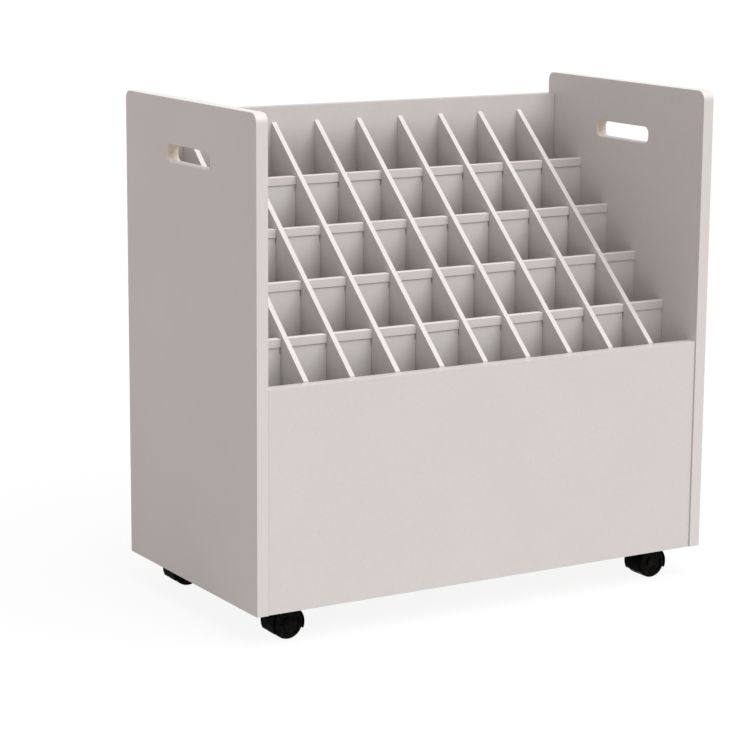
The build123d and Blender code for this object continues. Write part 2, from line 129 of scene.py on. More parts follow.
class Graph:
    """A node tree with short calls for the nodes that the finishes use."""

    def __init__(self, tree: Tree) -> None:
        """Keep the tree that the nodes go into.

        Args:
            tree: A material's, a group's or a world's node tree.
        """
        self.tree = tree

    def node(self, kind: str, **settings: object) -> Node:
        """Add a node.

        Args:
            kind: The node's type, such as "ShaderNodeMath".
            **settings: Attributes to set on the node.

        Returns:
            The new node.
        """
        made = self.tree.nodes.new(kind)
        for name, value in settings.items():
            setattr(made, name, value)
        return made

    def feed(self, socket: Socket, value: object) -> None:
        """Link a socket to an input, or set the input's own value.

        Args:
            socket: The input to fill.
            value: An output socket, a number, a colour or a vector.
        """
        if isinstance(value, Socket):
            self.tree.links.new(value, socket)
        else:
            socket.default_value = value

    def math(self, operation: str, *values: object, clamp: bool = False) -> Socket:
        """Combine numbers.

        Args:
            operation: The Math node's operation.
            *values: One to three numbers or sockets.
            clamp: Whether the result is kept from 0 to 1.

        Returns:
            The result's socket.
        """
        made = self.node("ShaderNodeMath", operation=operation, use_clamp=clamp)
        for socket, value in zip(made.inputs, values):
            self.feed(socket, value)
        return made.outputs[0]

    def vector(self, operation: str, *values: object) -> Socket:
        """Combine vectors.

        Args:
            operation: The Vector Math node's operation.
            *values: One to three vectors or sockets.

        Returns:
            The result's vector socket.
        """
        made = self.node("ShaderNodeVectorMath", operation=operation)
        for socket, value in zip(made.inputs, values):
            self.feed(socket, value)
        return made.outputs["Vector"]

    def split(self, vector: object) -> list[Socket]:
        """Take a vector apart.

        Args:
            vector: The vector's socket.

        Returns:
            The sockets of its X, Y and Z.
        """
        made = self.node("ShaderNodeSeparateXYZ")
        self.feed(made.inputs[0], vector)
        return list(made.outputs)

    def fade(self, value: object, start: object, end: object) -> Socket:
        """Fade smoothly from 0 at start to 1 at end.

        Args:
            value: The number that is looked at.
            start: Where the fade is 0.
            end: Where the fade is 1.

        Returns:
            The faded number's socket.
        """
        made = self.node("ShaderNodeMapRange", interpolation_type="SMOOTHSTEP")
        for name, given in (("Value", value), ("From Min", start), ("From Max", end)):
            self.feed(made.inputs[name], given)
        return made.outputs[0]

    def scaled(self, value: object, low: float, high: float) -> Socket:
        """Spread a number of 0 to 1 over a span.

        Args:
            value: The number.
            low: The result at 0.
            high: The result at 1.

        Returns:
            The spread number's socket.
        """
        made = self.node("ShaderNodeMapRange")
        self.feed(made.inputs["Value"], value)
        made.inputs["To Min"].default_value = low
        made.inputs["To Max"].default_value = high
        return made.outputs[0]

    def noise(self, vector: object, scale: object, detail: float) -> Socket:
        """Return smooth noise of 0 to 1.

        Args:
            vector: Where the noise is read.
            scale: Cycles per metre.
            detail: How many finer layers are added.

        Returns:
            The noise value's socket.
        """
        made = self.node("ShaderNodeTexNoise")
        self.feed(made.inputs["Vector"], vector)
        self.feed(made.inputs["Scale"], scale)
        made.inputs["Detail"].default_value = detail
        return made.outputs["Fac"]

    def layer(self, vector: object, layer: Layer) -> Socket:
        """Return a layer of noise of 0 to 1.

        Args:
            vector: Where the layer is read.
            layer: The noise and its fade.

        Returns:
            The faded noise's socket.
        """
        return self.fade(self.noise(vector, layer.scale, layer.detail), layer.start, layer.end)

    def mix(self, share: object, first: object, second: object) -> Socket:
        """Mix two colours.

        Args:
            share: How much of the second there is.
            first: The colour at 0.
            second: The colour at 1.

        Returns:
            The mixed colour's socket.
        """
        made = self.node("ShaderNodeMix", data_type="RGBA")
        self.feed(made.inputs["Factor"], share)
        self.feed(made.inputs[MIX_FIRST], first)
        self.feed(made.inputs[MIX_SECOND], second)
        return made.outputs[MIX_RESULT]

    def bump(self, height: object, distance: float, strength: float) -> Socket:
        """Turn a height of 0 to 1 into a normal.

        Args:
            height: The height's socket.
            distance: The full height in metres.
            strength: How much of it shows.

        Returns:
            The normal's socket.
        """
        made = self.node("ShaderNodeBump")
        self.feed(made.inputs["Height"], height)
        made.inputs["Distance"].default_value = distance
        made.inputs["Strength"].default_value = strength
        return made.outputs[0]

    def surface(self, shader: Node, colour: object, roughness: object, normal: object) -> None:
        """Fill in what every finish gives its shader.

        Args:
            shader: The material's Principled node.
            colour: Its base colour.
            roughness: Its roughness.
            normal: Its normal.
        """
        for name, value in (("Base Color", colour), ("Roughness", roughness), ("Normal", normal)):
            self.feed(shader.inputs[name], value)

    def facing(self) -> Socket:
        """Return the Z of the face's own normal."""
        normal = self.node("ShaderNodeNewGeometry").outputs["True Normal"]
        return self.split(normal)[Axis.Z.value]

    def upward(self, tilt: Span) -> Socket:
        """Return how much a face looks up, from 0 to 1.

        Args:
            tilt: Z of the normal where it counts as 0 and as 1.

        Returns:
            The number's socket.
        """
        return self.fade(self.facing(), *tilt)

    def group(self, tree: Tree, **values: object) -> Node:
        """Place a shared group.

        Args:
            tree: The group.
            **values: Its inputs, with underscores for spaces.

        Returns:
            The group's node.
        """
        made = self.node("ShaderNodeGroup", node_tree=tree)
        for name, value in values.items():
            self.feed(made.inputs[name.replace("_", " ").capitalize()], value)
        return made


class SharedGroups:
    """Node groups that more than one finish uses, each built once."""

    FINE_FLECKS = Layer(900.0, 3.0, 0.45, 0.72)
    FINE_FLECK_SHARE = 0.7
    MEDIUM_FLECKS = Layer(310.0, 2.0, 0.5, 0.75)
    CLOUDS = Layer(7.0, 3.0, 0.35, 0.7)
    CLOUD_SHARE = 0.1
    PORE_SCALE, PORE_DETAIL = 2600.0, 1.0
    PRINT_ROUGHNESS: Span = (0.4, 0.52)

    WEAR_SPOTS = Layer(55.0, 4.0, 0.35, 0.75)
    LEAST_WEAR = 0.15

    DUST_CLOUDS = Layer(38.0, 5.0, 0.3, 0.8)

    CHIP_STRETCH: Triple = (1.0, 0.45, 1.0)
    CHIP_SCALE = 620.0
    CHIP_TONES = (srgb(214, 206, 186), srgb(229, 223, 207))
    CHIP_GAPS = Layer(800.0, 3.0, 0.56, 0.74)
    CHIP_GAP_SHARE = 0.35
    CHIP_GAP_COLOUR = srgb(176, 163, 139)

    GRAIN_DETAIL = 2.0
    SCRATCH_STRETCH: Triple = (1.0, 1.0, 6.0)
    SCUFFS = Layer(170.0, 5.0, 0.58, 0.8)

    def __init__(self) -> None:
        """Build every group."""
        self.laminate_print = self._laminate_print()
        self.edge_wear = self._edge_wear()
        self.settled_dust = self._settled_dust()
        self.chipboard = self._chipboard()
        self.moulded_grain = self._moulded_grain()

    @staticmethod
    def _new(
        name: str, inputs: dict[str, tuple[str, object]], outputs: dict[str, str]
    ) -> tuple[Graph, Node, Node]:
        """Start a group.

        Args:
            name: The group's name.
            inputs: Each input's socket type and default value.
            outputs: Each output's socket type.

        Returns:
            The group's graph, its input node and its output node.
        """
        tree = bpy.data.node_groups.new(name, "ShaderNodeTree")
        for label, (kind, value) in inputs.items():
            socket = tree.interface.new_socket(label, in_out="INPUT", socket_type=kind)
            socket.default_value = value
        for label, kind in outputs.items():
            tree.interface.new_socket(label, in_out="OUTPUT", socket_type=kind)
        graph = Graph(tree)
        return graph, graph.node("NodeGroupInput"), graph.node("NodeGroupOutput")

    def _laminate_print(self) -> Tree:
        """Build the fine fleck and soft clouding of a printed laminate."""
        graph, given, made = self._new(
            "Laminate print",
            {
                "Place": ("NodeSocketVector", NOWHERE),
                "Base colour": ("NodeSocketColor", srgb(218, 217, 214)),
                "Fleck colour": ("NodeSocketColor", srgb(202, 199, 195)),
                "Fleck share": ("NodeSocketFloat", 0.35),
            },
            {
                "Colour": "NodeSocketColor",
                "Height": "NodeSocketFloat",
                "Roughness": "NodeSocketFloat",
            },
        )
        place, base, fleck, fleck_share, *_ = given.outputs
        fine = graph.layer(place, self.FINE_FLECKS)
        medium = graph.layer(place, self.MEDIUM_FLECKS)
        flecks = graph.math("MAXIMUM", graph.math("MULTIPLY", fine, self.FINE_FLECK_SHARE), medium)
        printed = graph.mix(graph.math("MULTIPLY", flecks, fleck_share), base, fleck)
        clouds = graph.noise(place, self.CLOUDS.scale, self.CLOUDS.detail)
        cloudy = graph.fade(clouds, self.CLOUDS.start, self.CLOUDS.end)
        shaded = graph.mix(graph.math("MULTIPLY", cloudy, self.CLOUD_SHARE), printed, fleck)
        graph.feed(made.inputs["Colour"], shaded)
        graph.feed(made.inputs["Height"], graph.noise(place, self.PORE_SCALE, self.PORE_DETAIL))
        graph.feed(made.inputs["Roughness"], graph.scaled(clouds, *self.PRINT_ROUGHNESS))
        return graph.tree

    def _edge_wear(self) -> Tree:
        """Build a mask of worn arrises from a point's distances to three faces."""
        graph, given, made = self._new(
            "Edge wear",
            {
                "Distances": ("NodeSocketVector", (1.0, 1.0, 1.0)),
                "Place": ("NodeSocketVector", NOWHERE),
                "Width": ("NodeSocketFloat", 0.0012),
                "Amount": ("NodeSocketFloat", 0.45),
            },
            {"Mask": "NodeSocketFloat"},
        )
        first, second, third = graph.split(given.outputs["Distances"])
        lower = graph.math("MINIMUM", first, second)
        upper = graph.math("MAXIMUM", first, second)
        to_edge = graph.math("MAXIMUM", lower, graph.math("MINIMUM", upper, third))
        spots = graph.layer(given.outputs["Place"], self.WEAR_SPOTS)
        spread = graph.math("MULTIPLY_ADD", spots, 1 - self.LEAST_WEAR, self.LEAST_WEAR)
        reach = graph.math("MULTIPLY", given.outputs["Width"], spread)
        near = graph.math("SUBTRACT", 1.0, graph.fade(to_edge, 0.0, reach))
        mask = graph.math("MULTIPLY", near, given.outputs["Amount"], clamp=True)
        graph.feed(made.inputs["Mask"], mask)
        return graph.tree

    def _settled_dust(self) -> Tree:
        """Build a thin, cloudy dust that lies on faces that look up."""
        graph, given, made = self._new(
            "Settled dust",
            {"Place": ("NodeSocketVector", NOWHERE), "Amount": ("NodeSocketFloat", 0.08)},
            {"Mask": "NodeSocketFloat"},
        )
        cloudy = graph.layer(given.outputs["Place"], self.DUST_CLOUDS)
        settled = graph.math("MULTIPLY", graph.upward(DUST_TILT), cloudy)
        mask = graph.math("MULTIPLY", settled, given.outputs["Amount"], clamp=True)
        graph.feed(made.inputs["Mask"], mask)
        return graph.tree

    def _chipboard(self) -> Tree:
        """Build the raw core of a board: pressed chips with dark gaps."""
        graph, given, made = self._new(
            "Chipboard core",
            {"Place": ("NodeSocketVector", NOWHERE)},
            {"Colour": "NodeSocketColor", "Height": "NodeSocketFloat"},
        )
        stretched = graph.vector("MULTIPLY", given.outputs["Place"], self.CHIP_STRETCH)
        chips = graph.node("ShaderNodeTexVoronoi")
        graph.feed(chips.inputs["Vector"], stretched)
        graph.feed(chips.inputs["Scale"], self.CHIP_SCALE)
        tone, *_ = graph.split(chips.outputs["Color"])
        gaps = graph.layer(stretched, self.CHIP_GAPS)
        gap_share = graph.math("MULTIPLY", gaps, self.CHIP_GAP_SHARE)
        colour = graph.mix(gap_share, graph.mix(tone, *self.CHIP_TONES), self.CHIP_GAP_COLOUR)
        graph.feed(made.inputs["Colour"], colour)
        graph.feed(made.inputs["Height"], graph.math("SUBTRACT", tone, gaps))
        return graph.tree

    def _moulded_grain(self) -> Tree:
        """Build the fine spark-eroded grain of a moulded plastic."""
        graph, given, made = self._new(
            "Moulded grain",
            {
                "Place": ("NodeSocketVector", NOWHERE),
                "Grain scale": ("NodeSocketFloat", 2600.0),
            },
            {"Height": "NodeSocketFloat", "Scuff": "NodeSocketFloat"},
        )
        place = given.outputs["Place"]
        grain = graph.noise(place, given.outputs["Grain scale"], self.GRAIN_DETAIL)
        scratched = graph.vector("MULTIPLY", place, self.SCRATCH_STRETCH)
        graph.feed(made.inputs["Height"], grain)
        graph.feed(made.inputs["Scuff"], graph.layer(scratched, self.SCUFFS))
        return graph.tree


def start_material(name: str) -> tuple[Material, Graph, Node]:
    """Start a material with an empty Principled shader.

    Args:
        name: The material's name.

    Returns:
        The material, its graph and its Principled node.
    """
    material = bpy.data.materials.new(name)
    material.use_nodes = True
    material.node_tree.nodes.clear()
    graph = Graph(material.node_tree)
    shader = graph.node("ShaderNodeBsdfPrincipled")
    output = graph.node("ShaderNodeOutputMaterial")
    graph.feed(output.inputs["Surface"], shader.outputs[0])
    return material, graph, shader


def object_place(graph: Graph) -> Socket:
    """Find the shaded point.

    Args:
        graph: The material's graph.

    Returns:
        The socket of its place in the object's frame.
    """
    return graph.node("ShaderNodeTexCoord").outputs["Object"]


@dataclass(frozen=True)
class Board:
    """Where one board lies, and which of its faces differ from the rest.

    Attributes:
        low: The board's lowest corner.
        high: The board's highest corner.
        slant: Rise per metre of depth of a slanted top, and its height at y = 0.
        raw_hole: Corners of a cut-out that shows the board's core.
        raw_underside: Whether the board's lower edge shows its core.
        butted: Whether the board's ends in X meet the side boards.
        edge_reach: How high a board's lower edge reaches above its lowest point.
    """

    low: Vector
    high: Vector
    slant: tuple[float, float] | None = None
    raw_hole: tuple[Vector, Vector] | None = None
    raw_underside: bool = False
    butted: bool = False
    edge_reach: float = 0.0005

    def distances(self, graph: Graph, place: Socket) -> tuple[list[Socket], Socket]:
        """Measure a point's distances to the board's faces.

        Args:
            graph: The material's graph.
            place: The shaded point.

        Returns:
            The distance to the nearer face on each axis, and the drop from the top.
        """
        below = graph.split(graph.vector("SUBTRACT", place, tuple(self.low)))
        above = graph.split(graph.vector("SUBTRACT", tuple(self.high), place))
        nearer = [graph.math("MINIMUM", near, far) for near, far in zip(below, above)]
        drop = above[Axis.Z.value]
        if self.slant is not None:
            rise, height = self.slant
            _, depth_place, height_place = graph.split(place)
            top = graph.math("MULTIPLY_ADD", depth_place, rise, height)
            drop = graph.math("SUBTRACT", top, height_place)
            nearer[Axis.Z.value] = graph.math("MULTIPLY", drop, 1 / math.hypot(1.0, rise))
        return nearer, drop

    def in_front(self, graph: Graph, place: Socket) -> Socket:
        """Return 1 on the front half of the board's thickness and 0 behind it.

        Args:
            graph: The material's graph.
            place: The shaded point.

        Returns:
            The mask's socket.
        """
        middle = (self.low.y + self.high.y) / 2
        return graph.math("LESS_THAN", graph.split(place)[Axis.Y.value], middle)

    def core_share(self, graph: Graph, place: Socket) -> Socket | None:
        """Return where the board's core shows, or None where it is covered all over.

        Args:
            graph: The material's graph.
            place: The shaded point.

        Returns:
            A mask's socket or None.
        """
        share = None
        if self.raw_hole is not None:
            share = 1.0
            for given, hole_low, hole_high in zip(graph.split(place), *self.raw_hole):
                over = graph.math("GREATER_THAN", given, hole_low)
                under = graph.math("LESS_THAN", given, hole_high)
                share = graph.math("MULTIPLY", share, graph.math("MULTIPLY", over, under))
        if self.raw_underside:
            facing_down = graph.math("LESS_THAN", graph.facing(), FACING_DOWN)
            height_place = graph.split(place)[Axis.Z.value]
            at_bottom = graph.math("LESS_THAN", height_place, self.low.z + self.edge_reach)
            under = graph.math("MULTIPLY", facing_down, at_bottom)
            share = under if share is None else graph.math("MAXIMUM", share, under)
        return share


@dataclass(frozen=True)
class Laminate:
    """A printed melamine face on a board, with banded or raw edges.

    Attributes:
        base: Colour of the ground.
        fleck: Colour of the print's flecks.
        fleck_share: How strongly the flecks show.
        print_relief: Depth of the print's relief, and how much of it shows.
        worn: Colour of the worn arris.
        wear_width: How far wear reaches from an arris.
        wear_amount: How strongly wear shows.
        worn_roughness: How much rougher a worn arris is.
        dust: How much dust lies on upward faces.
        dust_colour: Colour of the dust.
        joint_shade_colour: Colour of the painted shade along a joint.
        joint_shade_width: How far the painted shade reaches from a joint.
        joint_shade_amount: How strongly the painted shade shows.
        core_roughness: How much rougher the raw core is.
        core_relief: How many times deeper the core's relief is than the print's.
        core_dust: How much dust lies on a cut-out's floor.
        core_dust_colour: Colour of that dust.
        depth_shade_colour: Colour of the painted shade deep in a compartment.
        depth_shade_start: Where the painted shade starts below the top.
        depth_shade_end: Where it is full.
        depth_shade_amount: How strongly it shows.
        lit_top_colour: Colour of the painted highlight on faces that look up, as if lit from
            above.
        lit_top_amount: How much of that painted highlight lies on them.
        ior: Refractive index of the resin.
    """

    base: Colour = srgb(218, 217, 214)
    fleck: Colour = srgb(202, 199, 195)
    fleck_share: float = 0.35
    print_relief: Span = (0.00006, 0.6)
    worn: Colour = srgb(232, 227, 223)
    wear_width: float = 0.0012
    wear_amount: float = 0.45
    worn_roughness: float = 0.18
    dust: float = 0.08
    dust_colour: Colour = srgb(226, 222, 216)
    joint_shade_colour: Colour = srgb(146, 138, 133)
    joint_shade_width: float = 0.0026
    joint_shade_amount: float = 0.6
    core_roughness: float = 0.4
    core_relief: float = 4.0
    core_dust: float = 1.0
    core_dust_colour: Colour = srgb(226, 220, 220)
    depth_shade_colour: Colour = srgb(158, 149, 144)
    depth_shade_start: float = 0.02
    depth_shade_end: float = 0.1
    depth_shade_amount: float = 0.0
    lit_top_colour: Colour = srgb(228, 223, 220)
    lit_top_amount: float = 0.0
    ior: float = 1.5

    def build(self, name: str, groups: SharedGroups, board: Board) -> Material:
        """Build the finish of one board.

        Args:
            name: The material's name.
            groups: The shared node groups.
            board: The board's place and its faces.

        Returns:
            The material.
        """
        material, graph, shader = start_material(name)
        place = object_place(graph)
        distances, drop = board.distances(graph, place)
        to_joint = distances[Axis.X.value]
        if board.butted:
            # No arris is open to wear where the board's ends are covered.
            distances[Axis.X.value] = 1.0
        joined = graph.node("ShaderNodeCombineXYZ")
        for socket, distance in zip(joined.inputs, distances):
            graph.feed(socket, distance)
        wear = graph.group(
            groups.edge_wear,
            distances=joined.outputs[0],
            place=place,
            width=self.wear_width,
            amount=self.wear_amount,
        ).outputs["Mask"]
        printed = graph.group(
            groups.laminate_print,
            place=place,
            base_colour=self.base,
            fleck_colour=self.fleck,
            fleck_share=self.fleck_share,
        )
        dust = graph.group(groups.settled_dust, place=place, amount=self.dust)
        colour = graph.mix(wear, printed.outputs["Colour"], self.worn)
        colour = graph.mix(dust.outputs["Mask"], colour, self.dust_colour)
        # Painted highlight: faces that look up are lightened as if lit from above.
        if self.lit_top_amount:
            covered = graph.math("MULTIPLY", graph.upward(LIT_TOP_TILT), self.lit_top_amount)
            colour = graph.mix(covered, colour, self.lit_top_colour)
        # Painted shade: the colour darkens further below the top, standing in for the shade deep
        # in a compartment; a butted board gets it on its front face only.
        if self.depth_shade_amount:
            depth_shade = graph.fade(drop, self.depth_shade_start, self.depth_shade_end)
            if board.butted:
                depth_shade = graph.math("MULTIPLY", depth_shade, board.in_front(graph, place))
            colour = graph.mix(
                graph.math("MULTIPLY", depth_shade, self.depth_shade_amount), colour, self.depth_shade_colour
            )
        # Painted shade along the ends that meet the side boards, in the corner where shade falls.
        if board.butted:
            near = graph.math("SUBTRACT", 1.0, graph.fade(to_joint, 0.0, self.joint_shade_width))
            shade = graph.math("MULTIPLY", near, self.joint_shade_amount)
            colour = graph.mix(shade, colour, self.joint_shade_colour)
        height = printed.outputs["Height"]
        roughness = graph.math(
            "MULTIPLY_ADD", wear, self.worn_roughness, printed.outputs["Roughness"]
        )
        raw = board.core_share(graph, place)
        if raw is not None:
            core = graph.group(groups.chipboard, place=place)
            dusty = graph.math("MULTIPLY", graph.upward(DUST_TILT), self.core_dust)
            core_colour = graph.mix(dusty, core.outputs["Colour"], self.core_dust_colour)
            colour = graph.mix(raw, colour, core_colour)
            roughness = graph.math("MULTIPLY_ADD", raw, self.core_roughness, roughness, clamp=True)
            core_height = graph.math("MULTIPLY", core.outputs["Height"], raw)
            height = graph.math("MULTIPLY_ADD", core_height, self.core_relief, height)
        graph.surface(shader, colour, roughness, graph.bump(height, *self.print_relief))
        shader.inputs["IOR"].default_value = self.ior
        return material


@dataclass(frozen=True)
class SmoothBand:
    """A thin plastic band or strip in the laminate's colour.

    Attributes:
        base: Colour of the plastic.
        shade: Colour of its faint streaks.
        streak_stretch: How the streaks are squeezed on each axis.
        streak_scale: Cycles of the streaks per metre, before the squeeze.
        streak_detail: How many finer layers the streaks have.
        streak_share: How strongly the streaks show.
        roughness: Its least roughness.
        marks: Rubbed marks, which are rougher.
        mark_roughness: How much rougher they are.
        grain_scale: Cycles of the grain per metre.
        grain_relief: Depth of the grain, and how much of it shows.
        dust: How much dust lies on upward faces.
        dust_colour: Colour of the dust.
        arris_highlight_colour: Colour of the painted highlight along a strip's top.
        arris_highlight_width: Height of that painted highlight.
    """

    base: Colour = srgb(222, 221, 218)
    shade: Colour = srgb(215, 213, 209)
    streak_stretch: Triple = (30.0, 30.0, 4.0)
    streak_scale: float = 12.0
    streak_detail: float = 3.0
    streak_share: float = 0.6
    roughness: float = 0.38
    marks: Layer = Layer(60.0, 6.0, 0.62, 0.78)
    mark_roughness: float = 0.2
    grain_scale: float = 1800.0
    grain_relief: Span = (0.00002, 0.5)
    dust: float = 0.12
    dust_colour: Colour = srgb(228, 224, 218)
    arris_highlight_colour: Colour = srgb(244, 240, 238)
    arris_highlight_width: float = 0.0014

    def build(self, name: str, groups: SharedGroups, top: float | None = None) -> Material:
        """Build the finish.

        Args:
            name: The material's name.
            groups: The shared node groups.
            top: Height of a strip's top, where it gets a painted highlight.

        Returns:
            The material.
        """
        material, graph, shader = start_material(name)
        place = object_place(graph)
        squeezed = graph.vector("MULTIPLY", place, self.streak_stretch)
        streaks = graph.noise(squeezed, self.streak_scale, self.streak_detail)
        streak_share = graph.scaled(streaks, 0.0, self.streak_share)
        dust = graph.group(groups.settled_dust, place=place, amount=self.dust)
        colour = graph.mix(streak_share, self.base, self.shade)
        colour = graph.mix(dust.outputs["Mask"], colour, self.dust_colour)
        # Painted highlight: a light line along the strip's top.
        if top is not None:
            height_place = graph.split(place)[Axis.Z.value]
            arris = graph.fade(height_place, top - self.arris_highlight_width, top)
            colour = graph.mix(arris, colour, self.arris_highlight_colour)
        marks = graph.layer(place, self.marks)
        roughness = graph.scaled(marks, self.roughness, self.roughness + self.mark_roughness)
        grain = graph.group(groups.moulded_grain, place=place, grain_scale=self.grain_scale)
        normal = graph.bump(grain.outputs["Height"], *self.grain_relief)
        graph.surface(shader, colour, roughness, normal)
        return material


@dataclass(frozen=True)
class MouldedPlastic:
    """A black moulded plastic of a caster.

    Attributes:
        base: Colour of the plastic.
        scuffed: Colour of its scuffs.
        scuff_share: How strongly the scuffs show.
        scuff_roughness: How much rougher a scuff is.
        roughness: Its roughness between the scuffs.
        grain_scale: Cycles of the grain per metre.
        grain_relief: Depth of the grain, and how much of it shows.
        grime: Clouds of floor grime.
        grime_amount: How much of it lies on the treads.
        grime_colour: Colour of the grime.
        shine: The shader's specular level.
        dust: How much dust lies on upward faces.
        dust_colour: Colour of the dust.
    """

    base: Colour = srgb(7, 7, 8)
    scuffed: Colour = srgb(34, 33, 32)
    scuff_share: float = 0.25
    scuff_roughness: float = 0.2
    roughness: float = 0.42
    grain_scale: float = 2600.0
    grain_relief: Span = (0.00004, 0.7)
    grime: Layer = Layer(130.0, 5.0, 0.35, 0.75)
    grime_amount: float = 0.0
    grime_colour: Colour = srgb(88, 82, 76)
    shine: float = 0.03
    dust: float = 0.04
    dust_colour: Colour = srgb(96, 93, 88)

    def build(self, name: str, groups: SharedGroups) -> Material:
        """Build the finish.

        Args:
            name: The material's name.
            groups: The shared node groups.

        Returns:
            The material.
        """
        material, graph, shader = start_material(name)
        place = object_place(graph)
        grain = graph.group(groups.moulded_grain, place=place, grain_scale=self.grain_scale)
        scuff = grain.outputs["Scuff"]
        colour = graph.mix(
            graph.math("MULTIPLY", scuff, self.scuff_share), self.base, self.scuffed
        )
        if self.grime_amount:
            cloudy = graph.layer(place, self.grime)
            grime = graph.math("MULTIPLY", cloudy, self.grime_amount)
            colour = graph.mix(grime, colour, self.grime_colour)
        dust = graph.group(groups.settled_dust, place=place, amount=self.dust)
        colour = graph.mix(dust.outputs["Mask"], colour, self.dust_colour)
        roughness = graph.math("MULTIPLY_ADD", scuff, self.scuff_roughness, self.roughness)
        normal = graph.bump(grain.outputs["Height"], *self.grain_relief)
        graph.surface(shader, colour, roughness, normal)
        shader.inputs["Specular IOR Level"].default_value = self.shine
        return material


@dataclass(frozen=True)
class PlatedSteel:
    """Zinc-plated steel with fine, uneven spangle.

    Attributes:
        base: Colour of the plating.
        dull: Colour of its duller patches.
        patches: The duller patches.
        brush_stretch: How the brushed lines are squeezed on each axis.
        brush_scale: Cycles of the lines per metre, before the squeeze.
        brush_detail: How many finer layers the lines have.
        roughness: Its least and its greatest roughness.
        grain_scale: Cycles of the grain per metre.
        grain_relief: Depth of the grain, and how much of it shows.
    """

    base: Colour = srgb(196, 197, 199)
    dull: Colour = srgb(158, 157, 152)
    patches: Layer = Layer(240.0, 4.0, 0.35, 0.7)
    brush_stretch: Triple = (1.0, 9.0, 9.0)
    brush_scale: float = 420.0
    brush_detail: float = 2.0
    roughness: Span = (0.25, 0.5)
    grain_scale: float = 3000.0
    grain_relief: Span = (0.00001, 0.5)

    def build(self, name: str, groups: SharedGroups) -> Material:
        """Build the finish.

        Args:
            name: The material's name.
            groups: The shared node groups.

        Returns:
            The material.
        """
        material, graph, shader = start_material(name)
        place = object_place(graph)
        colour = graph.mix(graph.layer(place, self.patches), self.base, self.dull)
        squeezed = graph.vector("MULTIPLY", place, self.brush_stretch)
        brushed = graph.noise(squeezed, self.brush_scale, self.brush_detail)
        grain = graph.group(groups.moulded_grain, place=place, grain_scale=self.grain_scale)
        normal = graph.bump(grain.outputs["Height"], *self.grain_relief)
        graph.surface(shader, colour, graph.scaled(brushed, *self.roughness), normal)
        shader.inputs["Metallic"].default_value = 1.0
        return material


@dataclass(frozen=True)
class DowelWood:
    """Fluted beech of the dowels.

    Attributes:
        pale: Colour between the pores.
        dark: Colour of the pores.
        pore_stretch: How the pores are squeezed on each axis.
        pores: The pores, before the squeeze.
        core_share: How much of the board's core is rubbed into them.
        roughness: The least and the greatest roughness.
        relief: Depth of the pores, and how much of it shows.
    """

    pale: Colour = srgb(214, 178, 136)
    dark: Colour = srgb(176, 134, 92)
    pore_stretch: Triple = (1.0, 8.0, 8.0)
    pores: Layer = Layer(260.0, 4.0, 0.4, 0.7)
    core_share: float = 0.15
    roughness: Span = (0.55, 0.75)
    relief: Span = (0.0001, 0.5)

    def build(self, name: str, groups: SharedGroups) -> Material:
        """Build the finish.

        Args:
            name: The material's name.
            groups: The shared node groups.

        Returns:
            The material.
        """
        material, graph, shader = start_material(name)
        place = object_place(graph)
        squeezed = graph.vector("MULTIPLY", place, self.pore_stretch)
        pores = graph.noise(squeezed, self.pores.scale, self.pores.detail)
        dark_share = graph.fade(pores, self.pores.start, self.pores.end)
        core = graph.group(groups.chipboard, place=place)
        colour = graph.mix(
            self.core_share, graph.mix(dark_share, self.pale, self.dark), core.outputs["Colour"]
        )
        roughness = graph.scaled(pores, *self.roughness)
        graph.surface(shader, colour, roughness, graph.bump(pores, *self.relief))
        return material


@dataclass
class Assembly:
    """A part of the organizer whose nodes are dressed together.

    Attributes:
        nodes: The CAD nodes by name.
        groups: The shared node groups.
    """

    nodes: dict[str, bpy.types.Object]
    groups: SharedGroups

    def give(self, material: Material, *names: str) -> None:
        """Put a finish on every slot of some CAD nodes.

        Args:
            material: The finish.
            *names: The nodes' names.
        """
        for name in names:
            for material_slot in self.nodes[name].material_slots:
                material_slot.material = material


